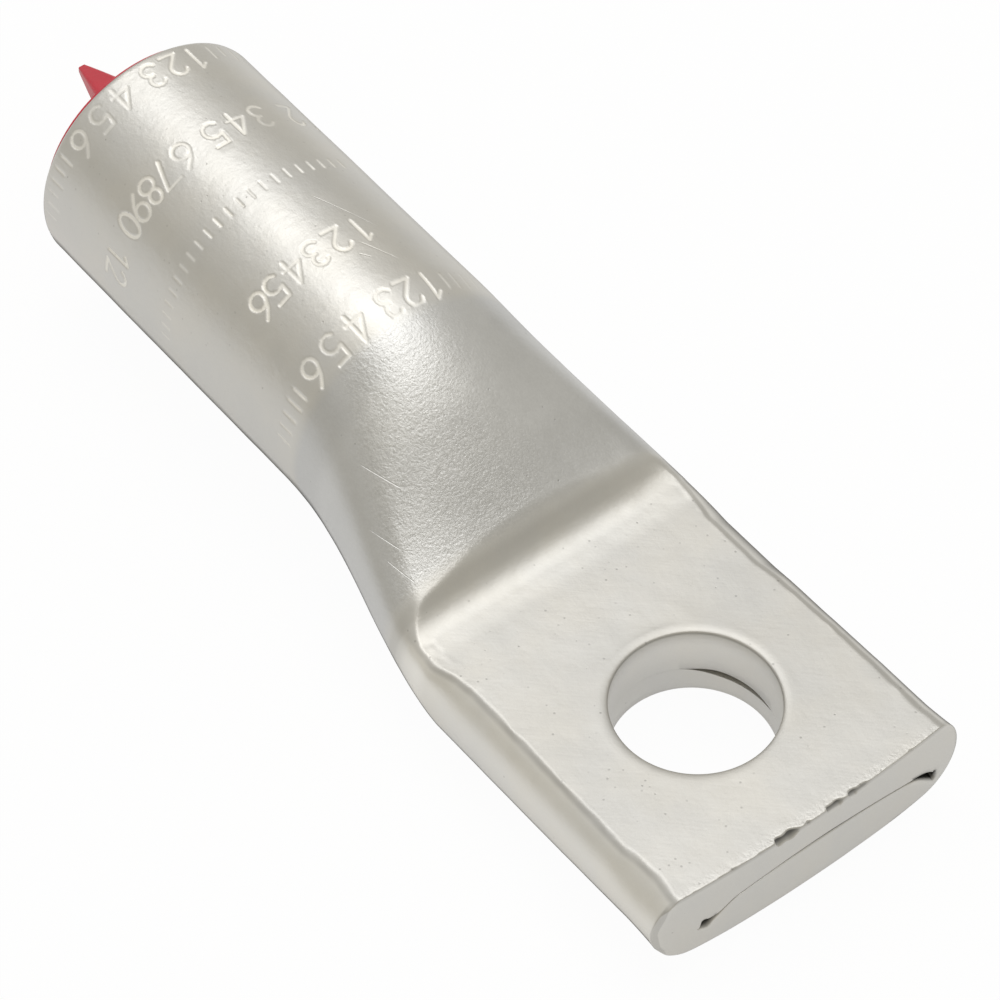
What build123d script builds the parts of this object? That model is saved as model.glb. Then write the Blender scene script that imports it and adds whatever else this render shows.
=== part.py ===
from build123d import *
from math import cos, pi, radians, sin, tan
import os

# Aluminium cable lug, millimetres.
# The origin is the centre of the stud hole on the pad's underside. +X runs to
# the tongue's tip, the barrel lies towards -X, and +Z is up, out of the pad.
# The body is one length of seamless tube. One end is left round, to be crimped
# on a conductor. The other is pressed flat between a die and a punch, then
# sheared and pierced for the stud.

# The tube before it is formed
TUBE_OD = 23.5
TUBE_BORE = 15.8

# Lengths along X, from the stud hole
HOLE_TO_TIP = 15.25
HOLE_TO_SHOULDER = 18.9
TRANSITION_LENGTH = 23.6
BARREL_LENGTH = 33.6
PRESS_LEAD = 2.05

# The tongue
STUD_HOLE = 14.28
PAD_THICKNESS = 7.7
BARREL_AXIS_Z = 9.45
TONGUE_HALF_WIDTH = 15.77
PUNCH_DEPTH = 1.2
ANVIL_DEPTH = 0.4

# Rounded sides of the tongue. An angle says where a side's arc meets the flat of
# the crown or the floor: on the round barrel it makes no difference.
ROUND_ANGLE = 45.0
UPPER_ANGLE = 85.0
LOWER_ANGLE = 84.0
TIP_UPPER_ANGLE = 81.5
TONGUE_WIDEST_Z = 3.4
TIP_WIDEST_Z = 4.35
TIP_FLARE = 0.35
TONGUE_OVERRUN = 2.0
SPREAD_OVERRUN = 4.5
SPREAD_POWER = 1.2

# The shoulder that the punch leaves
SHOULDER_WALL_ANGLE = 60.0
SHOULDER_RADIUS = 2.2
PUNCH_HEIGHT = 12.0

# The anvil's nose, under the transition
ANVIL_NOSE_X = -15.0
ANVIL_NOSE_ANGLE = 7.0
ANVIL_NOSE_RADIUS = 40.0
ANVIL_NOSE_RUN = 14.0

# The sheared end
TIP_BOW = 0.75
TIP_LEAN = 3.0

# The seam where the tube's inner walls meet. Piercing drags it down around the hole.
SEAM_GAP = 0.2
SEAM_RISE = 0.8
SEAM_SAG = 1.6
SEAM_DIP = 1.8
SEAM_BULB = 1.0
SEAM_ANGLE = 89.6

# Broken edges
SHOULDER_EDGE = 0.8
SHEARED_EDGE = 0.2
MOUTH_EDGE = 0.35
MOUTH_INNER_EDGE = 0.3
HOLE_EDGE = 0.2

# The plastic plug that keeps the barrel clean until it is used
PLUG_FIT = 0.08
PLUG_SKIRT_LENGTH = 8.0
PLUG_SKIRT_WALL = 1.0
PLUG_FLANGE_DIAMETER = 21.6
PLUG_FLANGE_THICKNESS = 0.7
PRONG_LENGTH = 11.6
PRONG_OFFSET = 1.05
PRONG_BASE = 5.8
PRONG_TIP = 0.7
PRONG_SWELL = 0.35
PRONG_CORNER_SHARE = 0.18

# Counts of loft stations
BODY_STATIONS = 16
BORE_STATIONS = 7

TUBE_R = TUBE_OD / 2
BORE_R = TUBE_BORE / 2
TIP_X = HOLE_TO_TIP
SHOULDER_X = -HOLE_TO_SHOULDER
BARREL_END_X = SHOULDER_X - TRANSITION_LENGTH
MOUTH_X = BARREL_END_X - BARREL_LENGTH
BARREL_TOP = BARREL_AXIS_Z + TUBE_R
BARREL_BOTTOM = BARREL_AXIS_Z - TUBE_R
TONGUE_TOP = PAD_THICKNESS + PUNCH_DEPTH
TONGUE_BOTTOM = -ANVIL_DEPTH


def mix(a, b, t):
    return a + (b - a) * t


def side_radius(half_width, height, angle):
    """Radius of an oval's side arc that meets the flat arc where its normal is at this angle."""
    k = tan(radians(45 - angle / 2))
    return (height - half_width * k) / (1 - k)


def oval(x, top, bottom, widest, half_width, upper_angle, lower_angle):
    """Six tangent arcs in the plane at x: a crown, a floor and two arcs down each side."""
    def side_points(height, angle, sign):
        r = side_radius(half_width, height, angle)
        return [(half_width - r + r * cos(radians(a)), widest + sign * r * sin(radians(a)))
                for a in (angle, angle / 2)]

    (ty, tz), (tmy, tmz) = side_points(top - widest, upper_angle, 1)
    (by, bz), (bmy, bmz) = side_points(widest - bottom, lower_angle, -1)
    ring = [
        (-ty, tz), (0, top), (ty, tz), (tmy, tmz), (half_width, widest), (bmy, bmz),
        (by, bz), (0, bottom), (-by, bz), (-bmy, bmz), (-half_width, widest), (-tmy, tmz),
    ]
    points = [(x, y, z) for y, z in ring]
    points.append(points[0])
    return make_face([ThreePointArc(*points[i:i + 3]) for i in range(0, len(ring), 2)])


def flattening(s):
    """Share of the pressing that is done at s, from 0 at the barrel to 1 at the shoulder."""
    return s**2 * (PRESS_LEAD - (PRESS_LEAD - 1) * s)


def flat_width(girth, height):
    """Half the width of a tube of this girth once it is pressed to this height."""
    return (girth - pi * height) / 4 + height / 2


def ease(t):
    return t**2 * (3 - 2 * t)


def station(x):
    """Outer section of the tube at x, before the punch and the anvil flatten the tongue."""
    s = min(1, max(0, (x - BARREL_END_X) / TRANSITION_LENGTH))
    f = flattening(s)
    top = mix(BARREL_TOP, TONGUE_TOP, f)
    bottom = mix(BARREL_BOTTOM, TONGUE_BOTTOM, f)
    spread = min(1, max(0, (x - BARREL_END_X) / (TRANSITION_LENGTH + SPREAD_OVERRUN)))
    # Along the tongue the widest point climbs, and the tip flares a little.
    t = max(0, (x - SHOULDER_X) / (TIP_X - SHOULDER_X))
    width = mix(TUBE_R, TONGUE_HALF_WIDTH, ease(spread) ** SPREAD_POWER) + TIP_FLARE * t**14
    widest = mix(mix(BARREL_AXIS_Z, TONGUE_WIDEST_Z, flattening(spread)), TIP_WIDEST_Z, t**2)
    upper = mix(mix(ROUND_ANGLE, UPPER_ANGLE, s), TIP_UPPER_ANGLE, t**2)
    return oval(x, top, bottom, widest, width, upper, mix(ROUND_ANGLE, LOWER_ANGLE, s))


def tube_length(radius, start, end):
    """Plain round stretch about the barrel's axis."""
    return Pos(start, 0, BARREL_AXIS_Z) * Rot(0, 90, 0) * Cylinder(
        radius, end - start, align=(Align.CENTER, Align.CENTER, Align.MIN))


def formed_tube():
    """Barrel, transition and tongue as one outer skin, pressed, coined and sheared."""
    # The first station lies back on the barrel, so that the skin leaves it smoothly.
    pitch = (TIP_X + TONGUE_OVERRUN - BARREL_END_X) / BODY_STATIONS
    start = BARREL_END_X - pitch
    skin = loft([station(start + i * pitch) for i in range(BODY_STATIONS + 2)])
    skin = soften_shoulder(skin, skin - punch()) - anvil()
    sheared = skin - sheared_end()
    skin = fillet(new_edges(skin, sheared_end(), combined=sheared), SHEARED_EDGE)
    barrel = tube_length(TUBE_R, MOUTH_X, start)
    mouth = barrel.edges().filter_by(GeomType.CIRCLE).sort_by(Axis.X)[0]
    return fillet(mouth, MOUTH_EDGE) + skin


def soften_shoulder(skin, pressed):
    """Rounds the curved edge that the punch leaves on the shoulder. The pad's sides follow it."""
    fresh = new_edges(skin, punch(), combined=pressed)
    shoulder = [e for e in fresh if e.center().X < SHOULDER_X and e.geom_type != GeomType.LINE]
    return fillet(shoulder, SHOULDER_EDGE)


def inner_station(x):
    """Section of the space inside the tube at x."""
    s = max(0, (x - BARREL_END_X) / TRANSITION_LENGTH)
    f = flattening(s)
    height = mix(TUBE_BORE, SEAM_BULB, f)
    centre = mix(BARREL_AXIS_Z, PAD_THICKNESS / 2, f)
    half = height / 2
    angle = mix(ROUND_ANGLE, SEAM_ANGLE, s)
    width = flat_width(pi * TUBE_BORE, height)
    return oval(x, centre + half, centre - half, centre, width, angle, angle)


def inner_space():
    """The tube's bore, which closes to a seam under the shoulder."""
    pitch = TRANSITION_LENGTH / BORE_STATIONS
    start = BARREL_END_X - pitch
    stations = [inner_station(start + i * pitch) for i in range(BORE_STATIONS + 2)]
    flare = Pos(MOUTH_X, 0, BARREL_AXIS_Z) * Rot(0, 90, 0) * Cone(
        BORE_R + MOUTH_INNER_EDGE, BORE_R, MOUTH_INNER_EDGE,
        align=(Align.CENTER, Align.CENTER, Align.MIN))
    return tube_length(BORE_R, MOUTH_X, start) + flare + loft(stations)


def seam():
    """The slit left between the pressed walls: an arched line with a bead at each end."""
    half = flat_width(pi * TUBE_BORE, SEAM_BULB)
    middle = PAD_THICKNESS / 2 + SEAM_RISE
    dipped = middle - SEAM_DIP
    stops = [(SHOULDER_X, middle), (-STUD_HOLE / 2, dipped), (0, dipped), (TIP_X, middle),
             (TIP_X + TONGUE_OVERRUN, middle)]
    slit = Part()
    for (x, z), (next_x, next_z) in zip(stops, stops[1:]):
        low = z - SEAM_SAG
        line = ThreePointArc((x, -half, low), (x, 0, z), (x, half, low))
        upper = ThreePointArc((x, -half, low + SEAM_GAP), (x, 0, z + SEAM_GAP), (x, half, low + SEAM_GAP))
        band = make_face([line, Line(line @ 1, upper @ 1), upper, Line(upper @ 0, line @ 0)])
        beads = [Pos(x, side * half, low) * Rot(0, 90, 0) * Circle(SEAM_BULB / 2) for side in (-1, 1)]
        run = Vector(next_x - x, 0, next_z - z)
        for face in [band, *beads]:
            slit += extrude(face, amount=run.length, dir=run.normalized())
    return slit


def punch():
    """What the punch presses away above the pad, with the fillet of its nose."""
    wall_run = PUNCH_HEIGHT / tan(radians(SHOULDER_WALL_ANGLE))
    foot = SHOULDER_X - SHOULDER_RADIUS * tan(radians(SHOULDER_WALL_ANGLE / 2))
    far = TIP_X + 2 * TONGUE_OVERRUN
    far_foot = (far, 0, PAD_THICKNESS)
    far_top = (far, 0, PAD_THICKNESS + PUNCH_HEIGHT)
    wall_top = (foot - wall_run, 0, PAD_THICKNESS + PUNCH_HEIGHT)
    nose = FilletPolyline(far_foot, (foot, 0, PAD_THICKNESS), wall_top, radius=SHOULDER_RADIUS)
    face = make_face([*nose.edges(), Line(wall_top, far_top), Line(far_top, far_foot)])
    return extrude(face, amount=TUBE_OD, dir=(0, 1, 0), both=True)


def anvil():
    """What the anvil presses away below the pad, with its gently rising nose."""
    far = TIP_X + 2 * TONGUE_OVERRUN
    low = -TUBE_R
    nose_end = (ANVIL_NOSE_X - ANVIL_NOSE_RUN, 0, -ANVIL_NOSE_RUN * tan(radians(ANVIL_NOSE_ANGLE)))
    nose = FilletPolyline((far, 0, 0), (ANVIL_NOSE_X, 0, 0), nose_end, radius=ANVIL_NOSE_RADIUS)
    face = make_face([*nose.edges(), Line(nose_end, (nose_end[0], 0, low)),
                      Line((nose_end[0], 0, low), (far, 0, low)), Line((far, 0, low), (far, 0, 0))])
    return extrude(face, amount=TUBE_OD, dir=(0, 1, 0), both=True)


def sheared_end():
    """What is left outside the shear's bowed and leaning cut."""
    reach = TONGUE_HALF_WIDTH
    span = 2 * TUBE_OD
    bow = TIP_BOW * (span / 2 / reach) ** 2
    drop = TUBE_OD
    base_x = TIP_X + drop * tan(radians(TIP_LEAN)) / 2
    curve = ThreePointArc((base_x - bow, -span / 2), (base_x, 0), (base_x - bow, span / 2))
    far = TIP_X + span
    edges = [curve, Line(curve @ 1, (far, span / 2)), Line((far, span / 2), (far, -span / 2)),
             Line((far, -span / 2), curve @ 0)]
    return Pos(0, 0, -drop / 2) * extrude(make_face(edges), amount=drop, taper=-TIP_LEAN)


def pierced_hole():
    """The stud hole, with its edge broken where the piercing tool went in."""
    r = STUD_HOLE / 2
    wide = r + HOLE_EDGE + PAD_THICKNESS
    outline = Polyline(
        (0, 0, -PAD_THICKNESS),
        (r, 0, -PAD_THICKNESS),
        (r, 0, PAD_THICKNESS - HOLE_EDGE),
        (wide, 0, 2 * PAD_THICKNESS),
        (0, 0, 2 * PAD_THICKNESS),
        close=True,
    )
    return revolve(make_face(outline), axis=Axis.Z)


def lug_body():
    return formed_tube() - inner_space() - seam() - pierced_hole()


def end_plug():
    flange_r = PLUG_FLANGE_DIAMETER / 2
    skirt_r = BORE_R - PLUG_FIT
    hollow_r = skirt_r - PLUG_SKIRT_WALL
    face_x = MOUTH_X - PLUG_FLANGE_THICKNESS
    outline = Polyline(
        (face_x, 0, 0),
        (face_x, 0, flange_r),
        (MOUTH_X, 0, flange_r),
        (MOUTH_X, 0, skirt_r),
        (MOUTH_X + PLUG_SKIRT_LENGTH, 0, skirt_r),
        (MOUTH_X + PLUG_SKIRT_LENGTH, 0, hollow_r),
        (MOUTH_X, 0, hollow_r),
        (MOUTH_X, 0, 0),
        close=True,
    )
    cap = Pos(0, 0, BARREL_AXIS_Z) * revolve(make_face(outline), axis=Axis.X)

    def section(share, size):
        x = face_x - share * PRONG_LENGTH
        return Pos(x, PRONG_OFFSET, BARREL_AXIS_Z) * Rot(0, -90, 0) * RectangleRounded(
            size, size, size * PRONG_CORNER_SHARE)

    middle = mix(PRONG_BASE, PRONG_TIP, 0.5) + PRONG_SWELL
    prong = loft([section(0, PRONG_BASE), section(0.5, middle), section(1, PRONG_TIP)])
    return cap + prong


def main():
    os.makedirs("parts", exist_ok=True)
    export_step(lug_body(), "parts/lug_body.step")
    export_step(end_plug(), "parts/end_plug.step")


main()
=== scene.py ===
from math import cos, pi, radians, sin, tan

import bmesh
import bpy
import numpy as np
from mathutils import Matrix, Vector


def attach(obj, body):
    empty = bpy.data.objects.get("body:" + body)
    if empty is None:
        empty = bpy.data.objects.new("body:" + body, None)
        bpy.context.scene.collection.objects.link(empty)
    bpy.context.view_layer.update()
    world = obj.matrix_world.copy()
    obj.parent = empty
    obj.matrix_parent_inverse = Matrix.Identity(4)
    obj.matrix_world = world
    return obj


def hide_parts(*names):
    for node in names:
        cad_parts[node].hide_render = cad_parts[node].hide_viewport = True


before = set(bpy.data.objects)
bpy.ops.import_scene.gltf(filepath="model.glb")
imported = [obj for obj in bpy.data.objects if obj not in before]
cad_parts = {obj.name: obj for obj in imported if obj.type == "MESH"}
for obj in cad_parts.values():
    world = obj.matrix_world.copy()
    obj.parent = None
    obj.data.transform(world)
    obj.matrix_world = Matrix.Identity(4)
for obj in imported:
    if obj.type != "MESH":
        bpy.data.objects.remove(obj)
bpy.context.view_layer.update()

# The lug's form, in millimetres, as in the part's source.
TUBE_R, BORE_R, AXIS_Z = 11.75, 7.9, 9.45
TIP_X, SHOULDER_X, BARREL_END_X, MOUTH_X = 15.25, -18.9, -42.5, -76.1
TRANSITION = SHOULDER_X - BARREL_END_X
HOLE_R, PAD_Z = 7.14, 7.7
HALF_WIDTH = 15.77
PRESS_LEAD = 2.05
SEAM_HALF = (pi * 2 * BORE_R - pi) / 4 + 0.5
SEAM_MIDDLE, SEAM_SAG = PAD_Z / 2 + 0.8, 1.6
# Where the seam's two beads end on the sheared face. Pressing left them uneven.
SEAM_LEFT, SEAM_RIGHT = -11.6, 13.25
# The punch: its foot's fillet, and its wall's slope. The anvil: its radius, its slope and where that starts.
FOOT_R, PUNCH_SLOPE = 3.6, radians(60)
ANVIL_R, ANVIL_SLOPE, ANVIL_X = 40, radians(7), -15
# The sheared end's bow and lean, and the rounding of the edges at the tip, the mouth and the bore
END_BOW, END_LEAN = 0.75, radians(3)
TIP_EDGE, MOUTH_EDGE, BORE_EDGE = 0.15, 0.35, 0.3


def mix(a, b, t):
    return a + (b - a) * t


def ease(t):
    t = np.clip(t, 0, 1)
    return t * t * (3 - 2 * t)


def noise(points, size, seed):
    """Smooth value noise from -1 to 1 with features of about this size."""
    table = np.random.default_rng(seed).uniform(-1, 1, 4096)
    q = points / size
    cell = np.floor(q).astype(np.int64)
    f = q - cell
    f = f * f * (3 - 2 * f)
    total = 0
    for dx in (0, 1):
        for dy in (0, 1):
            for dz in (0, 1):
                key = ((cell[..., 0] + dx) * 73856093) ^ ((cell[..., 1] + dy) * 19349663) ^ (
                    (cell[..., 2] + dz) * 83492791)
                w = (f[..., 0] if dx else 1 - f[..., 0]) * (
                    f[..., 1] if dy else 1 - f[..., 1]) * (f[..., 2] if dz else 1 - f[..., 2])
                total = total + w * table[key & 4095]
    return total


def fractal(points, size, seed, octaves=3):
    return sum(noise(points, size / 2**i, seed + i) / 2**i for i in range(octaves)) / 1.6


# Sections of the pressed tube


class Oval:
    """Six tangent arcs. A point on it is found by its arc length from the crown's middle."""

    def __init__(self, top, bottom, widest, half, upper, lower):
        def radius(height, angle):
            k = tan(radians(45 - angle / 2))
            return (height - half * k) / (1 - k)

        self.top, self.bottom, self.widest, self.half = top, bottom, widest, half
        self.ru, self.rl = radius(top - widest, upper), radius(widest - bottom, lower)
        self.upper, self.lower = upper, lower
        self.rc = (half - self.ru + self.ru * cos(radians(upper))) / cos(radians(upper))
        self.rf = (half - self.rl + self.rl * cos(radians(lower))) / cos(radians(lower))
        spans = [self.rc * radians(90 - upper), self.ru * radians(upper),
                 self.rl * radians(lower), self.rf * radians(90 - lower)]
        self.lengths = np.concatenate([[0], np.cumsum(spans)])
        self.angles = np.array([90, upper, 0, -lower, -90])
        self.total = self.lengths[-1]

    def length_at(self, angle):
        return np.interp(-angle, -self.angles, self.lengths)

    def points(self, s):
        s = np.asarray(s, float)
        s = np.where(s > self.total, s - 2 * self.total, s)
        sign = np.where(s < 0, -1.0, 1.0)
        angle = np.interp(np.abs(s), self.lengths, self.angles)
        a = np.radians(angle)
        y = np.select(
            [angle >= self.upper, angle >= 0, angle >= -self.lower],
            [self.rc * np.cos(a), self.half - self.ru + self.ru * np.cos(a),
             self.half - self.rl + self.rl * np.cos(a)],
            self.rf * np.cos(a))
        z = np.select(
            [angle >= self.upper, angle >= 0, angle >= -self.lower],
            [self.top - self.rc + self.rc * np.sin(a), self.widest + self.ru * np.sin(a),
             self.widest + self.rl * np.sin(a)],
            self.bottom + self.rf + self.rf * np.sin(a))
        return sign * y, z


def flattening(s):
    return s**2 * (PRESS_LEAD - (PRESS_LEAD - 1) * s)


def outer_oval(x):
    s = min(1, max(0, (x - BARREL_END_X) / TRANSITION))
    f = flattening(s)
    top = mix(AXIS_Z + TUBE_R, PAD_Z + 1.2, f)
    bottom = mix(AXIS_Z - TUBE_R, -0.4, f)
    spread = min(1, max(0, (x - BARREL_END_X) / (TRANSITION + 4.5)))
    t = max(0, (x - SHOULDER_X) / (TIP_X - SHOULDER_X))
    width = mix(TUBE_R, HALF_WIDTH, float(ease(spread)) ** 1.2) + 0.24 * t**14
    widest = mix(mix(AXIS_Z, 3.4, flattening(spread)), 4.35, t**2)
    upper = mix(mix(45, 85, s), 81.5, t**2)
    return Oval(top, bottom, widest, width, upper, mix(45, 84, s))


def inner_oval(x):
    s = max(0, (x - BARREL_END_X) / TRANSITION)
    f = flattening(s)
    half = mix(2 * BORE_R, 1.0, f) / 2
    centre = mix(AXIS_Z, PAD_Z / 2, f)
    width = (pi * 2 * BORE_R - 2 * pi * half) / 4 + half
    angle = mix(45, 89.6, s)
    return Oval(centre + half, centre - half, centre, width, angle, angle)


def punch_z(x):
    """Height of the punch's face at x: the pad, a filleted foot, then a steep wall."""
    r, foot = FOOT_R, SHOULDER_X - 2.1 * tan(PUNCH_SLOPE / 2)
    start = foot + r * tan(PUNCH_SLOPE / 2)
    arc = PAD_Z + r - np.sqrt(np.maximum(r * r - (x - start) ** 2, 0.01))
    wall = PAD_Z + (foot - x) * tan(PUNCH_SLOPE)
    return np.where(x >= start, PAD_Z, np.where(x > start - r * sin(PUNCH_SLOPE), arc, wall))


def anvil_z(x):
    """Height of the anvil's face at x: flat, then an arc, then a gentle slope."""
    end = ANVIL_X + ANVIL_R * tan(ANVIL_SLOPE / 2)
    arc = -ANVIL_R + np.sqrt(np.maximum(ANVIL_R**2 - (x - end) ** 2, 1))
    slope = -(ANVIL_X - x) * tan(ANVIL_SLOPE)
    return np.where(x >= end, 0, np.where(x > end - ANVIL_R * sin(ANVIL_SLOPE), arc, slope))


def smooth_min(a, b, k):
    h = np.maximum(k - np.abs(a - b), 0) / k
    return np.minimum(a, b) - h * h * k / 4


def end_x(y, z):
    """The sheared end: bowed across and leaning outwards at the bottom."""
    return TIP_X - END_BOW * (y / HALF_WIDTH) ** 2 - z * tan(END_LEAN)


# Stamped marks: plain figures and ticks


def arc(cx, cy, rx, ry, a0, a1, n=8):
    return [(cx + rx * cos(radians(mix(a0, a1, i / n))), cy + ry * sin(radians(mix(a0, a1, i / n))))
            for i in range(n + 1)]


FIGURES = {
    "0": [arc(.3, .5, .27, .48, 0, 360, 16)],
    "1": [[(.12, .78), (.34, .98), (.34, .02)]],
    "2": [arc(.3, .71, .26, .27, 165, -35) + [(.03, .02), (.6, .02)]],
    "3": [arc(.28, .74, .24, .24, 150, -90), arc(.28, .26, .28, .25, 90, -150)],
    "4": [[(.46, .02), (.46, .98), (.02, .3), (.62, .3)]],
    "5": [[(.55, .98), (.1, .98), (.06, .56)] + arc(.28, .32, .29, .3, 120, -140)],
    "6": [[(.48, .97), (.2, .7)] + arc(.3, .3, .28, .29, 165, 525, 14)],
    "7": [[(.02, .98), (.6, .98), (.22, .02)]],
    "8": [arc(.3, .74, .22, .24, -90, 270, 12), arc(.3, .26, .28, .25, 90, 450, 12)],
    "9": [arc(.3, .69, .27, .29, -15, 345, 14) + [(.4, .3), (.14, .03)]],
}
# Each row: x of the foot, height, then figures and the angle of each one's middle
ROWS = [
    (-75.25, 2.85, zip("123456", (20, 9, -2.5, -18, -31.5, -45))),
    (-66.3, 2.95, zip("123456789012", (54, 41.5, 22, 10.5, -2, -18, -29, -38.5, -47.5, -56.5, -73, -82))),
    (-49.9, 2.9, zip("123456", (14.5, 3, -9, -19.5, -31, -40))),
    (-41.75, 2.95, zip("123456", (20.5, 9.5, -1.5, -17.5, -31.5, -44.5))),
]
# Each tick: angle, x of its two ends
MOUTH_TICKS = (-56, -62, -68, -74, -80.5, -87, 31, 38, 45, 51)
TICKS = [(a, -75.2, -73.6 - 0.4 * (i % 2)) for i, a in enumerate(MOUTH_TICKS)]
TICKS += [(39.5 - 6.15 * i, -57.95, -56.85) for i in range(22)]
TICKS += [(a, -41.2, -39.6) for a in (29, 35.2, 41.5, 47.5, -56, -61.5, -67.8, -74, -80)]


def distance(x, s, segments, reach=0.7):
    best = np.full(x.shape, 9.0)
    for (x0, s0), (x1, s1) in segments:
        near = np.flatnonzero((x > min(x0, x1) - reach) & (x < max(x0, x1) + reach)
                              & (s > min(s0, s1) - reach) & (s < max(s0, s1) + reach))
        if not len(near):
            continue
        dx, ds = x1 - x0, s1 - s0
        px, ps = x[near] - x0, s[near] - s0
        t = np.clip((px * dx + ps * ds) / max(dx * dx + ds * ds, 1e-9), 0, 1)
        best[near] = np.minimum(best[near], np.hypot(px - t * dx, ps - t * ds))
    return best


def mark_lines():
    """The strokes and the ticks as straight runs over x and the arc round the barrel."""
    strokes = []
    for foot, height, figures in ROWS:
        for figure, angle in figures:
            middle = radians(angle) * TUBE_R
            for line in FIGURES[figure]:
                spots = [(foot + v * height, middle - (u - 0.3) * height * 0.95) for u, v in line]
                strokes += zip(spots[:-1], spots[1:])
    return strokes, [((x0, radians(a) * TUBE_R), (x1, radians(a) * TUBE_R)) for a, x0, x1 in TICKS]


STROKES, TICK_LINES = mark_lines()


def to_marks(points):
    """Distances from points on the barrel to the nearest stroke and the nearest tick."""
    x, y, z = points.T
    s = np.arctan2(y, z - AXIS_Z) * TUBE_R
    return distance(x, s, STROKES), distance(x, s, TICK_LINES)


def mark_height(points):
    """Height of the stamped marks: negative in a groove, positive on its raised lip."""
    d, t = to_marks(points)
    force = np.clip(0.85 + 0.6 * noise(points, 4.0, 5), 0.3, 1.15)
    deep = 0.08 * ease((0.21 - d) / 0.11) + 0.07 * np.exp(-(t / 0.11) ** 2)
    lip = 0.01 * np.exp(-((d - 0.28) / 0.07) ** 2) + 0.006 * np.exp(-((t - 0.24) / 0.08) ** 2)
    return (lip - deep) * force


# The mesh


class Shell:
    def __init__(self):
        self.points, self.count, self.faces = [], 0, []

    def add(self, points):
        points = np.asarray(points, float)
        index = np.arange(self.count, self.count + points[..., 0].size).reshape(points.shape[:-1])
        self.points.append(points.reshape(-1, 3))
        self.count += index.size
        return index

    def sheet(self, rows):
        """Quads between rows of equal length."""
        rows = np.asarray(rows)
        quads = np.stack([rows[:-1, :-1], rows[1:, :-1], rows[1:, 1:], rows[:-1, 1:]], -1)
        self.faces += quads.reshape(-1, 4).tolist()

    def bridge(self, a, ta, b, tb):
        """Triangles between two rows, matched by a position that grows along each."""
        i = j = 0
        while i < len(a) - 1 or j < len(b) - 1:
            if j == len(b) - 1 or (i < len(a) - 1 and ta[i + 1] <= tb[j + 1]):
                face = [int(a[i]), int(b[j]), int(a[i + 1])]
                i += 1
            else:
                face = [int(a[i]), int(b[j]), int(b[j + 1])]
                j += 1
            if len(set(face)) == 3:
                self.faces.append(face)

    def stacked(self):
        return np.concatenate(self.points)


def spread(stops):
    """Positions along x: each stop gives where it ends and the step up to there."""
    xs = [stops[0][0]]
    for end, step in stops[1:]:
        n = max(1, round((end - xs[-1]) / step))
        xs += list(np.linspace(xs[-1], end, n + 1)[1:])
    return np.array(xs)


TOP, RIGHT, FLOOR, LEFT = 168, 24, 52, 50
JR, JF, JL = TOP, TOP + RIGHT, TOP + RIGHT + FLOOR
PATCH_X = -10.5
STATIONS = spread([
    (MOUTH_X + MOUTH_EDGE, 0), (-72.1, 0.25), (-66.6, 0.8), (-63.1, 0.25), (-58.2, 0.8), (-56.6, 0.2),
    (-50.2, 0.8), (-46.7, 0.25), (-42.1, 0.8), (-38.5, 0.25), (-24.5, 0.6), (-16.6, 0.2),
    (PATCH_X, 0.45), (12.75, 0.42), (TIP_X - TIP_EDGE, 0.3)])


def corner_angles(x, oval):
    """Where the ring's top part ends, which on the tongue is the pad's edge, and where its floor starts."""
    sh = outer_oval(SHOULDER_X)
    edge = np.degrees(np.arcsin(np.clip((PAD_Z - sh.widest) / sh.ru, -1, 1)))
    if x >= SHOULDER_X:
        edge = np.degrees(np.arcsin(np.clip((PAD_Z - oval.widest) / oval.ru, -1, 1)))
        return edge, -84
    t = float(ease((x - BARREL_END_X) / TRANSITION))
    return mix(25, edge, t), mix(-25, -84, t)


def ring(x):
    oval = outer_oval(x)
    upper, lower = corner_angles(x, oval)
    a, b = oval.length_at(upper), oval.length_at(lower)
    whole = 2 * oval.total
    s = np.concatenate([
        np.linspace(-a, a, TOP + 1)[:-1], np.linspace(a, b, RIGHT + 1)[:-1],
        np.linspace(b, whole - b, FLOOR + 1)[:-1], np.linspace(whole - b, whole - a, LEFT + 1)[:-1]])
    y, z = oval.points(s)
    return np.stack([np.full_like(y, x), y, z], -1)


# How far the pad's edges wander outwards: places along x, then the shift there, left and right
LEFT_EDGE = (
    (-19.5, -16, -14, -12, 8, 10, 12, 14, 15.3),
    (0.2, 0.8, 0.35, 0.05, 0, -0.35, -0.5, -0.35, -0.35))
RIGHT_EDGE = (
    (-19.5, -16, -14, -8, -6, 0, 6, 8, 12, 14),
    (0, -0.2, -0.35, -0.35, -0.05, 0.15, 0.25, 0.2, 0.1, 0.15))


def finish_skin(p):
    """Presses the punch and the anvil into the skin and shears its end."""
    x, y, z = p[..., 0].copy(), p[..., 1].copy(), p[..., 2].copy()
    shift = np.where(y < 0, -np.interp(x, *LEFT_EDGE), np.interp(x, *RIGHT_EDGE))
    y += shift * ease((z - 4.5) / 3) * ease((np.abs(y) - 7) / 6) * ease((x + 20.5) / 1.5)
    upper = z > 4.5
    # The shoulder's upper border is crisp at the left, softer to the right, where it also lies further back.
    back = 0.5 * ease((y - 8) / 5)
    soft = mix(0.3 + 0.7 * ease((y + 11) / 8), 0.08, ease((x + back + 21.2) / 2.2))
    z = np.where(upper & (x > -27), smooth_min(z, punch_z(x + back), soft), z)
    z = np.where(~upper & (x > -33), -smooth_min(-z, -anvil_z(x), 0.25), z)
    warp = np.maximum(x - 4, 0)
    x = np.where(x > 4, 4 + warp * (end_x(y, z) - 4) / (TIP_X - 4), x)
    return np.stack([x, y, z], -1)


def ring_normals(p):
    """Outward normals of a grid of rings."""
    n = np.cross(np.gradient(p, axis=0), np.roll(p, -1, 1) - np.roll(p, 1, 1))
    return n / np.maximum(np.linalg.norm(n, axis=2), 1e-9)[..., None]


shell = Shell()
rings = finish_skin(np.stack([ring(x) for x in STATIONS]))
normals = ring_normals(rings)


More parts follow.
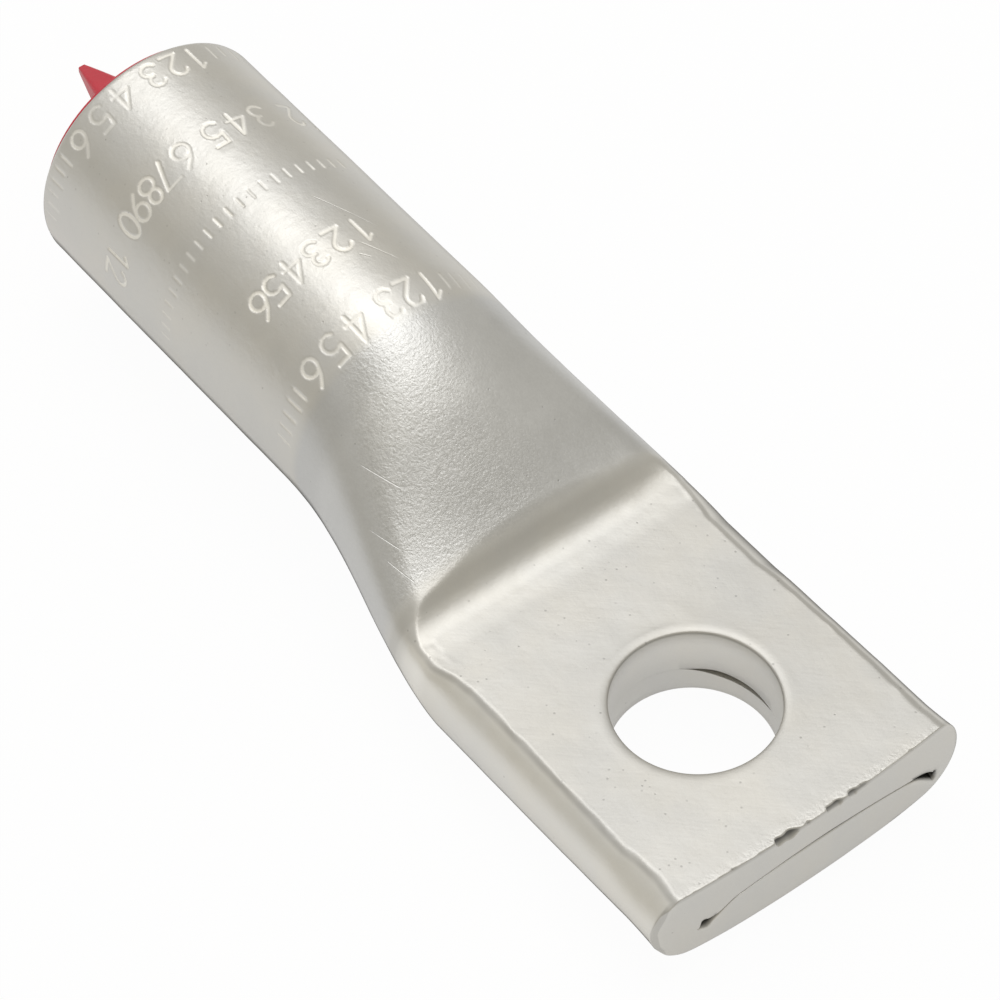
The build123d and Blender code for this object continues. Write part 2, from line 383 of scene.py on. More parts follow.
def waves(points):
    """Slight unevenness of the drawn and pressed skin."""
    return 0.03 * fractal(points, 5.0, 11) + 0.008 * fractal(points, 1.3, 21, 2) - 0.029


# Chips along the sheared end's upper edge: where each starts and ends across the tongue, and its size
CHIPS = (
    (-8.6, -7.6, 0.3), (-4.0, -1.1, 1), (-0.9, -0.2, 0.5), (1.3, 3.5, 1), (3.6, 6.1, 0.8), (10.2, 10.8, 0.3))


def chip_sizes(points):
    y, z = points[..., 1], points[..., 2]
    broken = sum(size * ease((y - y0) / 0.25) * ease((y1 - y) / (0.4 * (y1 - y0))) for y0, y1, size in CHIPS)
    broken = broken * (0.8 + 0.5 * noise(points, 0.6, 73))
    return ease((z - 7.45) / 0.2) * (broken + 0.2 * np.clip(noise(points, 0.5, 75), 0, 1) * ease((7 - y) / 2))


def burr_sizes(points):
    """The burr that was pressed flat round the end's left."""
    y, z = points[..., 1], points[..., 2]
    uneven = np.clip(0.75 + 0.5 * noise(points, 1.3, 77), 0, 1)
    return ease((2.9 - np.abs(z - 4.2)) / 0.8) * (y < -11) * uneven


flat = rings.reshape(-1, 3)
push = waves(flat)
# A little more height noise along the pad's edges, where the metal is ragged
edge = np.exp(-((flat[:, 2] - PAD_Z) / 0.35) ** 2) * ease((flat[:, 0] + 19.5) / 1.5)
push += edge * ease((np.abs(flat[:, 1]) - 12.7) / 0.5) * 0.06 * fractal(flat, 0.9, 31, 2)
rings = rings + push.reshape(rings.shape[:2])[..., None] * normals
# Chips and the burr take some off the last rings
near_end = np.clip((STATIONS - 13) / (TIP_X - TIP_EDGE - 13), 0, 1) ** 2
at_end = rings[-1] * [0, 1, 1] + [TIP_X, 0, 0]
rings[..., 0] -= near_end[:, None] * (0.42 * chip_sizes(at_end) + 0.36 * burr_sizes(at_end))
skin = shell.add(rings)
closed = np.concatenate([skin, skin[:, :1]], 1)
cut = int(np.argmin(np.abs(STATIONS - PATCH_X)))
last = len(STATIONS) - 1
shell.sheet(closed[:cut + 1])
shell.sheet(closed[cut:, JR:JF + 1])
shell.sheet(closed[cut:, JL:])


def loop(left, right):
    """The closed border of the tongue's flat between two columns, from PATCH_X to the tip."""
    a = closed[cut, left:right + 1]
    b = closed[cut + 1:last, right]
    c = closed[last, left:right + 1][::-1]
    d = closed[cut + 1:last, left][::-1]
    return np.concatenate([a, b, c, d, a[:1]])


def shown(index):
    return shell.stacked()[index]


def annulus(border, radius, z, rows, height):
    """Fills between the border and the hole's circle, and returns the circle."""
    outer = shown(border[:-1])
    a = np.arctan2(outer[:, 1], outer[:, 0])
    inner = np.stack([radius * np.cos(a), radius * np.sin(a), np.full(len(a), z)], -1)
    grid = [border]
    for i in range(1, rows + 1):
        t = (i / rows) ** 1.25
        p = mix(outer, inner, t)
        p[:, 2] = height(p, t, outer)
        index = shell.add(p)
        grid.append(np.concatenate([index, index[:1]]))
    shell.sheet(grid)
    return grid[-1]


def pad_height(p, t, outer):
    z = PAD_Z + (1 - t**8) * waves(p)
    return mix(outer[:, 2], z, min(1, 50 * t))


def floor_height(p, t, outer):
    return mix(outer[:, 2], 0.012 * fractal(p, 2.5, 61, 2), min(1, 6 * t))


top_rim = annulus(loop(0, JR), HOLE_R + 0.8, PAD_Z, 23, pad_height)
low_rim = annulus(loop(JF, JL), HOLE_R + 0.05, 0, 9, floor_height)


def seam_z(x, y):
    """Middle height of the seam between the tube's pressed walls. It rises towards the tip."""
    rise = ease(x / TIP_X)
    drop = 0.6 * ease((-y - 7.8) / 2.5) + 0.1 * np.maximum(y - 10.2, 0) ** 2
    return mix(2.85, SEAM_MIDDLE, rise) - mix(2.0, SEAM_SAG, rise) * (y / SEAM_HALF) ** 2 - rise * drop


# The stud hole's wall, with the seam's slit across it
rim_angle = np.arctan2(shown(top_rim)[:, 1], shown(top_rim)[:, 0])
rim_x, rim_y = HOLE_R * np.cos(rim_angle), HOLE_R * np.sin(rim_angle)
seam_at = seam_z(rim_x, rim_y)
# The slit stands open on one stretch of the wall, and is pressed shut elsewhere.
share = np.clip((150 - np.degrees(rim_angle)) / 72, 0, 1)
opened = ease(share / 0.4) * (1 - share**5)
gap = 0.006 + 0.27 * opened


def circle(radius, z):
    heights = np.full_like(rim_angle, 1) * z
    ring_points = np.stack([radius * np.cos(rim_angle), radius * np.sin(rim_angle), heights], -1)
    index = shell.add(ring_points[:-1])
    return np.concatenate([index, index[:1]])


# The rim's rounding: how far out and how far down each step of it lies
ROLL = ((0.55, 0.013), (0.33, 0.038), (0.16, 0.078), (0.05, 0.135), (0, 0.22))
wall = [top_rim]
wall += [circle(HOLE_R + wide, PAD_Z - low) for wide, low in ROLL]
wall += [circle(HOLE_R, mix(PAD_Z - ROLL[-1][1], seam_at + gap + 0.15 * opened, t)) for t in (0.35, 0.7, 1)]
wall += [circle(HOLE_R + 0.1 * opened, seam_at + gap)]
slit_r = HOLE_R + 0.02 + 1.2 * opened
wall += [circle(slit_r, seam_at + gap / 3), circle(slit_r, seam_at - gap / 3)]
wall += [circle(HOLE_R, mix(seam_at - gap, 0.1, t)) for t in (0, 0.5, 1)]
shell.sheet(wall)


def turns(index):
    """Angles round the hole that fall steadily along a closed row, and its start turned to half a turn."""
    p = shown(index[:-1])
    a = np.degrees(np.arctan2(p[:, 1], p[:, 0]))
    start = int(np.argmax(a))
    order = np.roll(np.arange(len(a)), -start)
    if a[order[1]] > a[order[2]]:
        row = index[:-1][order]
    else:
        row = index[:-1][np.roll(order[::-1], 1)]
    p = shown(row)
    a = np.degrees(np.arctan2(p[:, 1], p[:, 0]))
    return np.concatenate([row, row[:1]]), np.concatenate([-a, [-a[0] + 360]])


shell.bridge(*turns(wall[-1]), *turns(low_rim))

# The sheared end: a rounded edge, ragged along the top, then the face with the seam's mouth
end = shown(skin[last])
out = normals[last] * [0, 1, 1]
at_end = end * [0, 1, 1] + [TIP_X, 0, 0]
chips, burr = chip_sizes(at_end), burr_sizes(at_end)
rows = [closed[last]]
# Each row of the edge: how far back and in it lies, then what the chips take off it, inwards and back
END_EDGE = ((0.065, 0.02, 0.02, 0.42), (0.035, 0.05, 0.12, 0.4), (0.006, 0.12, 0.5, 0))
for back, inset, ragged, bite in END_EDGE:
    p = end - out * (inset + ragged * chips + (ragged - 0.02) * 0.85 * burr)[:, None]
    p[:, 0] = end_x(p[:, 1], p[:, 2]) - back - bite * (chips + 0.85 * burr)
    index = shell.add(p)
    rows.append(np.concatenate([index, index[:1]]))
face_edge = shown(rows[-1][:-1])


def along_seam(start, end, count):
    """Positions across the seam, closer together at its ends."""
    t = np.linspace(0, pi, count + 1)
    return mix(start, end, (1 - np.cos(t)) / 2)


def hump(y, middle, width):
    return np.exp(-((y - middle) / width) ** 2)


def seam_gaps(y, line, bead):
    """Half the seam's opening, above and below its middle line: a claw at the left, a drop at the right."""
    claw = bead * ease((y - SEAM_LEFT + 0.05) / 0.35)
    both = line * (0.065 + 0.05 * hump(y, 1, 4)) + 0.2 * claw * hump(y, -10.8, 1)
    both = both + bead * 0.6 * hump(np.minimum(y, 12.9), 12.9, 1.4)
    return both + 0.4 * claw * hump(y, -11.2, 0.5), both + 0.5 * claw * hump(y, -10.75, 0.45)


y_top = along_seam(SEAM_LEFT, SEAM_RIGHT, TOP)
y_low = along_seam(SEAM_RIGHT, SEAM_LEFT, FLOOR)
turn = np.radians(np.linspace(90, -90, RIGHT + 1))
turn_left = np.radians(np.linspace(-90, -270, LEFT + 1))


def seam_end(y, angles, line, bead):
    """Rounds off one end of the seam from its one lip to the other."""
    above, below = seam_gaps(y, line, bead)
    z = np.where(np.sin(angles) > 0, above, below) * np.sin(angles)
    reach = (0.55 if y > 0 else 0.14) * bead
    return y + reach * np.cos(angles), seam_z(TIP_X, y) + z


def seam_ring(line, bead):
    above, below = seam_gaps(y_top, line, bead)[0], seam_gaps(y_low, line, bead)[1]
    right_y, right_z = seam_end(SEAM_RIGHT, turn[:-1], line, bead)
    left_y, left_z = seam_end(SEAM_LEFT, turn_left[:-1], line, bead)
    y = np.concatenate([y_top[:-1], right_y, y_low[:-1], left_y])
    z = np.concatenate([(seam_z(TIP_X, y_top) + above)[:-1], right_z,
                        (seam_z(TIP_X, y_low) - below)[:-1], left_z])
    return np.stack([end_x(y, z), y, z], -1)


mouth = seam_ring(1.5, 1.3)
for t in (0.12, 0.3, 0.5, 0.7, 0.9, 1.0):
    p = mix(face_edge, mouth, t)
    p[:, 0] = end_x(p[:, 1], p[:, 2]) + 0.012 * fractal(p, 3, 81) - 0.008
    index = shell.add(p)
    rows.append(np.concatenate([index, index[:1]]))
# Each row inside the seam: the share of its line's and its beads' opening that is left, and its depth
SEAM_STEPS = ((1.0, 0.85, 0.07), (0.8, 0.45, 0.35), (0.6, 0.15, 0.9))
for line, bead, depth in SEAM_STEPS:
    p = seam_ring(line, bead)
    p[:, 0] -= depth
    index = shell.add(p)
    rows.append(np.concatenate([index, index[:1]]))
shell.sheet(rows)


def cap(index, first, second):
    """Closes a flat ring between its upper and its lower half, split at two places along it."""
    upper = index[first:second + 1]
    lower = np.concatenate([index[second:], index[:first + 1]])[::-1]
    shell.bridge(upper, shown(upper)[:, 1], lower, shown(lower)[:, 1])


cap(rows[-1][:-1], 0, JR)

# The bore, closing under the shoulder
INNER = 96


def inner_ring(x, oval):
    y, z = oval.points(np.linspace(-oval.total, oval.total, INNER + 1)[:-1])
    return np.stack([np.full_like(y, x), y, z], -1)


def round_oval(r):
    return Oval(AXIS_Z + r, AXIS_Z - r, AXIS_Z, r, 45, 45)


inside = [inner_ring(MOUTH_X, round_oval(BORE_R + BORE_EDGE))]
inside += [inner_ring(x, round_oval(BORE_R)) for x in np.linspace(MOUTH_X + BORE_EDGE, BARREL_END_X, 18)]
inside += [inner_ring(x, inner_oval(x)) for x in np.linspace(BARREL_END_X, SHOULDER_X, 30)[1:]]
bore = shell.add(np.stack(inside))
bore = np.concatenate([bore, bore[:, :1]], 1)
shell.sheet(bore)
quarter = INNER // 4
cap(bore[-1][:-1], quarter, 3 * quarter)

# The barrel's mouth: a rounded edge, then the cut face
first = shown(skin[0])
round_out = (first - [0, 0, AXIS_Z]) * [0, 1, 1] / TUBE_R
rows = [closed[0]]
for a in (30, 60, 90):
    p = first - round_out * MOUTH_EDGE * (1 - cos(radians(a)))
    p[:, 0] = MOUTH_X + MOUTH_EDGE * (1 - sin(radians(a)))
    index = shell.add(p)
    rows.append(np.concatenate([index, index[:1]]))
shell.sheet(rows)


def barrel_turns(index):
    """Clockwise angles from straight down along a closed row, and the row turned to start there."""
    p = shown(index[:-1])
    a = np.degrees(np.arctan2(p[:, 1], p[:, 2] - AXIS_Z))
    start = int(np.argmin(a))
    row = np.roll(index[:-1], -start)
    a = np.roll(a, -start)
    return np.concatenate([row, row[:1]]), np.concatenate([a, [a[0] + 360]])


shell.bridge(*barrel_turns(rows[-1]), *barrel_turns(bore[0]))


# The stamped stretch ends here (mm), and the tube's outside lies beyond this radius (m)
STAMP_END_X, OUTSIDE_R = -38, 0.0112


def is_outside(v):
    return Vector((v.co.y, v.co.z - AXIS_Z / 1000)).length > OUTSIDE_R


def stamp(work):
    """Splits the barrel's faces near the marks, lays its points on the tube and presses the marks in."""
    barrel = [v for v in work.verts if v.co.x < STAMP_END_X / 1000 and is_outside(v)]
    d, t = to_marks(np.array([v.co for v in barrel]) * 1000)
    near = {v for v, close in zip(barrel, (d < 0.45) | (t < 0.3)) if close}
    edges = [e for e in work.edges if e.verts[0] in near and e.verts[1] in near]
    bmesh.ops.subdivide_edges(work, edges=edges, cuts=1, use_grid_fill=True)
    layer = work.verts.layers.float.new("groove")
    skin_verts = [v for v in work.verts if MOUTH_X + 0.3 < v.co.x * 1000 < STAMP_END_X and is_outside(v)]
    p = np.array([v.co for v in skin_verts]) * 1000
    radius = np.hypot(p[:, 1], p[:, 2] - AXIS_Z)
    depth = mark_height(p)
    target = np.where(p[:, 0] < BARREL_END_X, TUBE_R + waves(p), radius) + depth
    p[:, 1] *= target / radius
    p[:, 2] = AXIS_Z + (p[:, 2] - AXIS_Z) * target / radius
    for v, place, groove in zip(skin_verts, p / 1000, np.clip(-depth / 0.08, 0, 1)):
        v.co = place
        v[layer] = groove


def build(name, points, faces):
    used = np.unique([i for f in faces for i in f])
    renumber = np.full(len(points), -1)
    renumber[used] = np.arange(len(used))
    mesh = bpy.data.meshes.new(name)
    mesh.from_pydata((points[used] * 0.001).tolist(), [], [[int(renumber[i]) for i in f] for f in faces])
    obj = bpy.data.objects.new(name, mesh)
    bpy.context.scene.collection.objects.link(obj)
    work = bmesh.new()
    work.from_mesh(mesh)
    bmesh.ops.recalc_face_normals(work, faces=work.faces)
    stamp(work)
    work.to_mesh(mesh)
    work.free()
    mesh.polygons.foreach_set("use_smooth", [True] * len(mesh.polygons))
    mesh.set_sharp_from_angle(angle=radians(42))
    return obj


lug = build("lug_skin", shell.stacked(), shell.faces)
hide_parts("lug_body")
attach(lug, "lug")


# Materials


def node(tree, kind, inputs=None, **settings):
    """A new node. An input's value may be another node's output, which is then linked."""
    n = tree.nodes.new("ShaderNode" + kind)
    for key, value in settings.items():
        setattr(n, key, value)
    for key, value in (inputs or {}).items():
        if isinstance(value, bpy.types.NodeSocket):
            tree.links.new(value, n.inputs[key])
        else:
            n.inputs[key].default_value = value
    return n


def material(name):
    m = bpy.data.materials.new(name)
    m.use_nodes = True
    tree = m.node_tree
    return m, tree, tree.nodes["Principled BSDF"]


def calculate(tree, operation, *values):
    return node(tree, "Math", dict(enumerate(values)), operation=operation).outputs[0]


def times(tree, a, b):
    return calculate(tree, "MULTIPLY", a, b)


def ramp(tree, value, low, high, start=0.0, end=1.0):
    """Goes smoothly from start to end while the value goes from low to high."""
    inputs = {"Value": value, "From Min": low, "From Max": high, "To Min": start, "To Max": end}
    n = node(tree, "MapRange", inputs, interpolation_type="SMOOTHSTEP")
    return n.outputs["Result"]


def millimetres(tree, scale=(1, 1, 1), turn=(0, 0, 0)):
    """The piece's own coordinates in millimetres, stretched and turned."""
    place = node(tree, "TexCoord").outputs["Object"]
    mm = node(tree, "Mapping", {"Vector": place, "Scale": (1000, 1000, 1000)})
    turned = node(tree, "Mapping", {"Vector": mm.outputs[0], "Rotation": turn})
    return node(tree, "Mapping", {"Vector": turned.outputs[0], "Scale": scale}).outputs[0]


def grain(tree, place, scale, detail=2.0, roughness=0.5, seed=0.0):
    """Noise around 0, about from -0.5 to 0.5."""
    inputs = {"Vector": place, "W": seed, "Scale": scale, "Detail": detail, "Roughness": roughness}
    n = node(tree, "TexNoise", inputs, noise_dimensions="4D")
    return calculate(tree, "SUBTRACT", n.outputs["Fac"], 0.5)


def total(tree, *terms):
    """Adds up pairs of an output and its weight, which may be an output too."""
    result = 0.0
    for value, weight in terms:
        result = calculate(tree, "MULTIPLY_ADD", value, weight, result)
    return result


# Long thin scratches: two ends, the surface's outward direction there, and half the width
SCRATCHES = [
    ((-54.31, 1.74, 21.07), (-48.15, 4.61, 20.26), (0, 0.25, 0.97), 0.07),
    ((-47.38, 1.84, 21.06), (-43.87, 3.6, 20.64), (0, 0.23, 0.97), 0.1),
    ((-46.21, 0.96, 21.16), (-45.22, 1.69, 21.08), (0, 0.1, 1), 0.07),
    ((-32.46, -9.63, 14.53), (-28.51, -7.97, 13.61), (0.3, -0.6, 0.75), 0.07),
    ((-28.38, -11.69, 11.39), (-25.09, -10.65, 10.9), (0.3, -0.6, 0.75), 0.06),
    ((-25.61, -12.03, 10.35), (-22.56, -11.21, 9.56), (0.3, -0.6, 0.75), 0.06),
]


def scratch(tree, place, start, end, outward, width):
    """1 along a thin straight scratch, 0 beside it."""
    run = Vector(end) - Vector(start)
    across = run.cross(Vector(outward)).normalized()
    away = node(tree, "VectorMath", {0: place, 1: start}, operation="SUBTRACT").outputs[0]
    along = run / run.length_squared
    share = node(tree, "VectorMath", {0: away, 1: along}, operation="DOT_PRODUCT").outputs["Value"]
    aside = node(tree, "VectorMath", {0: away, 1: across}, operation="DOT_PRODUCT").outputs["Value"]
    line = ramp(tree, calculate(tree, "ABSOLUTE", aside), width, width * 0.2)
    inside = times(tree, ramp(tree, share, 0, 0.15), ramp(tree, share, 1, 0.85))
    shallow = node(tree, "SeparateXYZ", {0: place}).outputs[2]
    near = calculate(tree, "GREATER_THAN", shallow, min(start[2], end[2]) - 1.5)
    return times(tree, times(tree, line, inside), near)


def end_shadows(tree, x, z, aside, face):
    """Painted shade inside the seam's slit and on the chips, both behind the sheared end's face: near it, and
    deeper.
    """
    chip_box = times(tree, ramp(tree, aside, 12, 11), ramp(tree, z, 7.62, 7.5))
    chip_box = times(tree, chip_box, 0.75)
    seam_box = times(tree, ramp(tree, aside, 14.4, 14.1), ramp(tree, z, 6, 5.5))
    boxes = times(tree, calculate(tree, "MAXIMUM", chip_box, seam_box), ramp(tree, z, 0.8, 1.2))
    boxes = times(tree, boxes, ramp(tree, x, 11, 11.5))
    return times(tree, boxes, ramp(tree, face, 0.03, 0.14)), times(tree, boxes, ramp(tree, face, 0.07, 0.4))


def painted_silhouette_shade(tree, x, y, aside):
    """Painted shade at the silhouette: a thin dark line where the surface turns away from the view, by Layer
    Weight.
    """
    tongue = ramp(tree, x, -24, -18)
    starts = total(tree, (times(tree, tongue, ramp(tree, y, 7, 9)), -0.25),
                   (times(tree, tongue, ramp(tree, y, -7, -9)), -0.07), (1.0, 0.8))
    outside = calculate(tree, "MAXIMUM", ramp(tree, aside, 7.3, 8), ramp(tree, x, -9, -10))
    facing = node(tree, "LayerWeight", {"Blend": 0.5}).outputs["Facing"]
    away = times(tree, outside, ramp(tree, facing, starts, 0.98))
    far_side = times(tree, ramp(tree, y, 5, 9), calculate(tree, "SUBTRACT", 1.0, tongue))
    return times(tree, away, total(tree, (far_side, -0.75), (1.0, 1.0)))


def tinned_metal():
    m, tree, shader = material("tinned_aluminium")
    mm = millimetres(tree)
    x, y, z = node(tree, "SeparateXYZ", {0: mm}).outputs
    # Zones: the pressed transition, and the flat that the punch leaves
    pressed = times(tree, ramp(tree, x, -39.3, -37.8), ramp(tree, x, -21, -23))
    pad = times(tree, ramp(tree, z, 7.2, 7.5), ramp(tree, x, -20.5, -19))
    cut = ramp(tree, x, 13.6, 14.0)
    # Painted light: the tongue's sides lighter, more so towards the top.
    side_light = times(tree, ramp(tree, x, -22, -16), calculate(tree, "SUBTRACT", 1.0, calculate(
        tree, "MAXIMUM", ramp(tree, z, 7.2, 7.5), cut)))
    groove = node(tree, "Attribute", attribute_name="groove").outputs["Fac"]

    blotch = grain(tree, mm, 0.13, 3.0, 0.6, 1.0)
    cloud = grain(tree, mm, 0.6, 5.0, 0.68, 2.0)
    speck = grain(tree, mm, 4.4, 3.0, 0.65, 3.0)
    peel = grain(tree, mm, 1.9, 2.0, 0.5, 4.0)
    drawn = grain(tree, millimetres(tree, (0.35, 3.2, 3.2)), 1.0, 2.0, 0.5, 5.0)
    turned = grain(tree, millimetres(tree, (2.6, 0.4, 0.4)), 1.0, 2.0, 0.5, 6.0)
    rubbed = grain(tree, millimetres(tree, (0.3, 4.0, 1.0), (0, 0, radians(-45))), 1.0, 2.0, 0.5, 7.0)
    cells = node(tree, "TexVoronoi", {"Vector": mm, "Scale": 0.75})
    chosen = ramp(tree, node(tree, "SeparateColor", {0: cells.outputs["Color"]}).outputs[0], 0.72, 0.8)
    pits = times(tree, ramp(tree, cells.outputs["Distance"], 0.09, 0.03), chosen)
    dots = node(tree, "TexVoronoi", {"Vector": mm, "Scale": 1.35})
    some = ramp(tree, node(tree, "SeparateColor", {0: dots.outputs["Color"]}).outputs[1], 0.68, 0.9)
    barrel = ramp(tree, x, -40, -42)
    freckled = total(tree, (pad, 1.0), (barrel, 0.5))
    freckles = times(tree, times(tree, some, freckled), ramp(tree, dots.outputs["Distance"], 0.2, 0.07))
    dapple = grain(tree, mm, 1.5, 3.0, 0.6, 11.0)
    # How far a point lies behind the sheared end's face
    bow = times(tree, times(tree, y, y), END_BOW / HALF_WIDTH**2)
    face = calculate(tree, "SUBTRACT", TIP_X, total(tree, (z, tan(END_LEAN)), (bow, 1.0), (x, 1.0)))
    aside = calculate(tree, "ABSOLUTE", y)
    # Painted shade: darker colour in the seam's slit and on the chips, near the face and deeper in.
    painted_shade_near, deep = end_shadows(tree, x, z, aside, face)
    # Painted shade: a thin dark line along the silhouette.
    away = painted_silhouette_shade(tree, x, y, aside)
    # A darker strip on the pressed-down burr round the end's left; painted shade on the face above the
    # shoulder and on the pad beside the hole
    strip = times(tree, ramp(tree, face, 0.5, 0.4), ramp(tree, face, 0.02, 0.06))
    strip = times(tree, strip, ramp(tree, y, -12, -12.6))
    strip = times(tree, strip, times(tree, ramp(tree, z, 1.2, 2), ramp(tree, z, 7.2, 6.8)))
    # Painted shade on the face just above the shoulder.
    neck_shade = times(tree, ramp(tree, x, -28, -25), ramp(tree, x, -21.6, -22.4))
    neck_shade = times(tree, neck_shade, ramp(tree, y, -8, -4))
    # Painted shade on the pad to both sides of the hole.
    beside_hole_shade = times(tree, pad, ramp(tree, calculate(tree, "ABSOLUTE", x), 11, 6))
    # Painted light: a lighter band on the pad along the shoulder's foot.
    foot = times(tree, ramp(tree, x, -20.2, -18.8), ramp(tree, x, -15.6, -17.4))
    # Painted shade: a darker band along the shoulder's steep wall.
    wall = times(tree, ramp(tree, x, -21.9, -21.1), ramp(tree, x, -20.1, -20.6))
    # Painted highlight in the middle of the pressed transition.
    painted_highlight = times(tree, ramp(tree, x, -36.8, -34.5), ramp(tree, x, -29.5, -32))
    painted_highlight = times(tree, painted_highlight, times(tree, ramp(tree, y, -9, -6), ramp(tree, y, 3, 0)))
    # Painted shade on both flanks of the transition where it starts.
    flank_shade = times(tree, ramp(tree, x, -39.5, -38), ramp(tree, x, -34, -36))
    flank_shade = times(tree, flank_shade, calculate(
        tree, "MAXIMUM", ramp(tree, y, -7, -9), ramp(tree, y, 6, 8)))

    # Coarse skin on the pressed part, smoother on the right and on a slanting stretch at the left
    coarse = times(tree, pressed, ramp(tree, y, 5, -2, 0.25, 1.0))
    slant = total(tree, (y, 1.0), (x, 0.42), (1.0, 22.96))
    coarse = times(tree, coarse, ramp(tree, slant, -1, 1.5, 0.2, 1.0))
    scratches = total(tree, *((scratch(tree, mm, *line), 1.0) for line in SCRATCHES))
    front = times(tree, ramp(tree, x, 12.9, 14.4), ramp(tree, z, 7.2, 7.5))
    crumbs = grain(tree, mm, 2.6, 3.0, 0.6, 10.0)

    height = total(
        tree, (speck, total(tree, (coarse, 1.1), (pad, -0.1), (1.0, 0.22))),
        (peel, total(tree, (coarse, 0.3), (pad, -0.15), (1.0, 0.2))),
        (drawn, total(tree, (coarse, 0.3), (pad, -0.12), (1.0, 0.2))),
        (turned, total(tree, (coarse, 0.3), (1.0, 0.1))),
        (rubbed, times(tree, pad, 0.2)), (cloud, 0.8), (pits, -0.4), (scratches, -0.5),
        (dapple, times(tree, barrel, 1.1)), (freckles, -0.2),
        (crumbs, times(tree, front, 1.2)))
    bump = node(tree, "Bump", {"Height": height, "Strength": 1.0, "Distance": 0.00003})
    tree.links.new(bump.outputs[0], shader.inputs["Normal"])

    # The colour's tone: random grain, pits and marks, plus painted light and shade in the zones above and at
    # the silhouette.
    tone = total(
        tree, (blotch, 0.12), (cloud, 0.08), (speck, 0.05), (pits, -0.22), (groove, 0.5), (pad, -0.12),
        (foot, 0.13), (freckles, -0.24), (painted_shade_near, -0.35), (deep, -0.55), (away, -0.5), (wall, -0.09),
        (neck_shade, -0.06), (beside_hole_shade, -0.035), (strip, -0.16), (painted_highlight, 0.11), (flank_shade, -0.07),
        (times(tree, speck, coarse), 0.5),
        (side_light, total(tree, (ramp(tree, z, 2.5, 6), 0.14), (1.0, 0.08))), (1.0, 1.0))
    warm = ramp(tree, blotch, -0.15, 0.2)
    bare = node(tree, "MixRGB", {0: warm, 1: (0.625, 0.617, 0.595, 1), 2: (0.625, 0.61, 0.575, 1)})
    tint = node(tree, "MixRGB", {0: pressed, 1: bare.outputs[0], 2: (0.595, 0.595, 0.59, 1)})
    colour = node(tree, "VectorMath", {0: tint.outputs[0], "Scale": tone}, operation="SCALE")
    tree.links.new(colour.outputs[0], shader.inputs["Base Color"])
    rough = total(
        tree, (cloud, 0.14), (speck, 0.08), (pad, 0.05), (cut, -0.04), (groove, 0.28),
        (coarse, -0.05), (1.0, 0.41))
    tree.links.new(rough, shader.inputs["Roughness"])
    # Painted shade in the reflection too: the specular tint goes dark along the silhouette.
    silhouette_shade_tint = node(tree, "MixRGB", {0: away, 1: (1, 1, 1, 1), 2: (0.1, 0.1, 0.1, 1)})
    tree.links.new(silhouette_shade_tint.outputs[0], shader.inputs["Specular Tint"])
    shader.inputs["Metallic"].default_value = 1
    return m


def moulded_plastic():
    m, tree, shader = material("red_plastic")
    mm = millimetres(tree)
    flow = grain(tree, mm, 0.25, 2.0, 0.5, 8.0)
    fine = grain(tree, mm, 4.0, 2.0, 0.5, 9.0)
    tone = total(tree, (flow, 0.25), (fine, 0.08), (1.0, 1.0))
    colour = node(tree, "VectorMath", {0: (0.53, 0.03, 0.053), "Scale": tone}, operation="SCALE")
    tree.links.new(colour.outputs[0], shader.inputs["Base Color"])
    tree.links.new(total(tree, (flow, 0.2), (1.0, 0.38)), shader.inputs["Roughness"])
    bump = node(tree, "Bump", {"Height": fine, "Strength": 1.0, "Distance": 0.00002})
    tree.links.new(bump.outputs[0], shader.inputs["Normal"])
    return m


lug.data.materials.append(tinned_metal())
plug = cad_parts["end_plug"]
plug.data.materials.clear()
plug.data.materials.append(moulded_plastic())

# Stage: a pale floor, soft light and the photograph's view
FLOOR_Z = -0.00235
floor_mesh = bpy.data.meshes.new("floor")
corners = [(-3, -3, FLOOR_Z), (3, -3, FLOOR_Z), (3, 3, FLOOR_Z), (-3, 3, FLOOR_Z)]
floor_mesh.from_pydata(corners, [], [(0, 1, 2, 3)])
floor = bpy.data.objects.new("floor", floor_mesh)
bpy.context.scene.collection.objects.link(floor)
ground, tree, shader = material("pale_floor")
shader.inputs["Base Color"].default_value = (0.86, 0.86, 0.855, 1)
shader.inputs["Roughness"].default_value = 0.9
# The camera and reflections see the floor paler than it is lit, with its shadow kept.
path = node(tree, "LightPath").outputs
to_camera = times(tree, path["Is Camera Ray"], 0.96)
to_metal = times(tree, path["Is Glossy Ray"], 0.5)
glow = node(tree, "Emission", {"Color": (1, 1, 1, 1), "Strength": 1.0})
blend = node(tree, "MixShader", {0: calculate(tree, "MAXIMUM", to_camera, to_metal), 1: shader.outputs[0],
                                 2: glow.outputs[0]})
tree.links.new(blend.outputs[0], tree.nodes["Material Output"].inputs["Surface"])
floor_mesh.materials.append(ground)

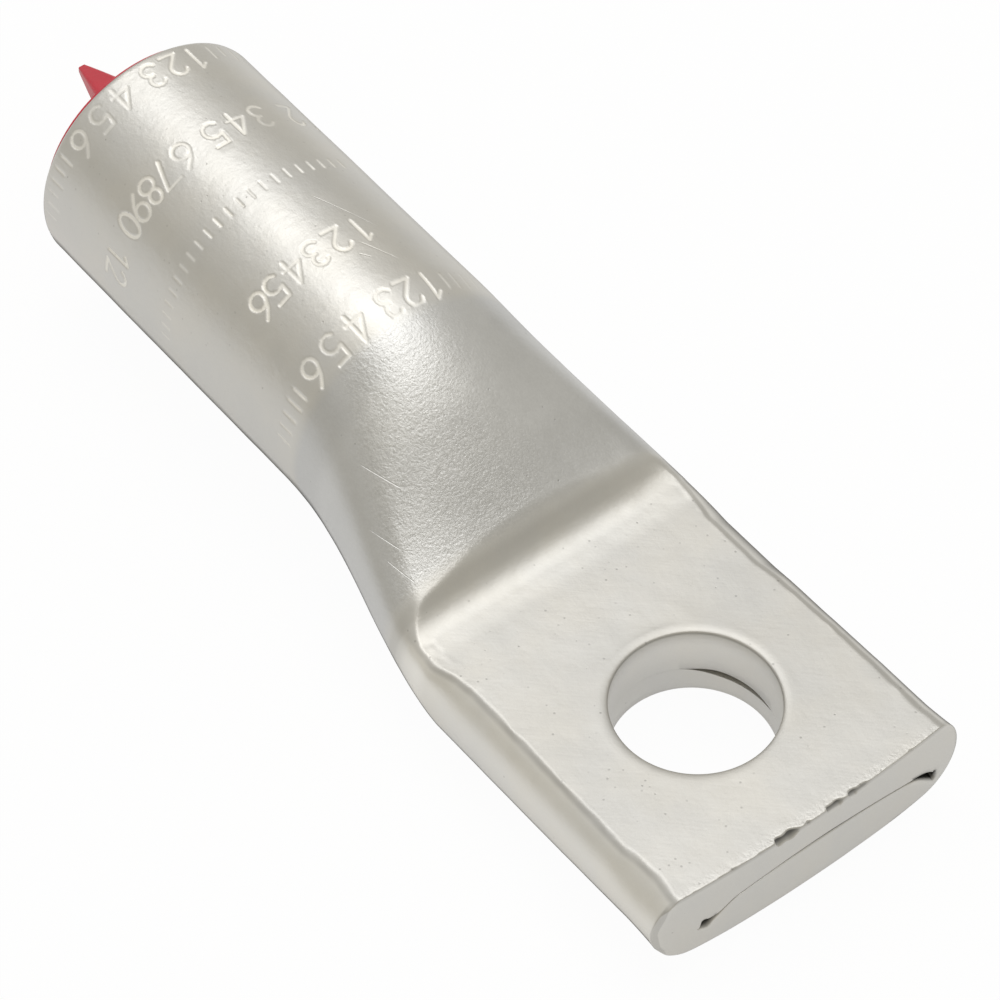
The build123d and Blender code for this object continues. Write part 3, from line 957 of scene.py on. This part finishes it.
# The room: warm walls below, a paler ceiling above
world = bpy.data.worlds.new("studio")
bpy.context.scene.world = world
world.use_nodes = True
tree = world.node_tree
way = node(tree, "SeparateXYZ", {0: node(tree, "TexCoord").outputs["Generated"]}).outputs
bright = times(tree, ramp(tree, way[2], 0.2, 0.75), ramp(tree, way[0], 0.1, -0.4))
across = ramp(tree, way[1], -0.7, 0.7)
walls = node(tree, "MixRGB", {0: across, 1: (0.565, 0.54, 0.475, 1), 2: (0.63, 0.61, 0.555, 1)})
room = node(tree, "MixRGB", {0: bright, 1: walls.outputs[0], 2: (0.78, 0.77, 0.74, 1)})
tree.links.new(room.outputs[0], tree.nodes["Background"].inputs["Color"])


def soft_light(name, place, size, turn, radiance):
    """A rectangle that faces straight down, as bright as given over its whole face."""
    data = bpy.data.lights.new(name, "AREA")
    data.shape = "RECTANGLE"
    data.size, data.size_y = size
    data.energy = radiance * pi * size[0] * size[1]
    obj = bpy.data.objects.new(name, data)
    obj.location = place
    obj.rotation_euler.z = turn
    bpy.context.scene.collection.objects.link(obj)
    return obj


soft_light("long_softbox", (-0.215, 0.105, 0.7), (0.88, 0.46), radians(10), 1.7)

# The camera, as fitted to the photograph
turn_about, rise, roll = radians(52.373), radians(50.731), radians(-0.522)
back = Vector((sin(turn_about) * cos(rise), -cos(turn_about) * cos(rise), sin(rise)))
right = (-back).cross(Vector((0, 0, 1))).normalized()
up = right.cross(-back)
right, up = right * cos(roll) + up * sin(roll), up * cos(roll) - right * sin(roll)
camera = bpy.data.objects.new("camera", bpy.data.cameras.new("camera"))
camera.data.sensor_width = 36
camera.data.lens = 4698.3 / 1000 * 36
camera.data.clip_start, camera.data.clip_end = 0.01, 20
camera.matrix_world = Matrix((
    (right.x, up.x, back.x, 0.17134), (right.y, up.y, back.y, -0.15193),
    (right.z, up.z, back.z, 0.31316), (0, 0, 0, 1)))
bpy.context.scene.collection.objects.link(camera)
bpy.context.scene.camera = camera
bpy.context.scene.view_settings.view_transform = "Standard"
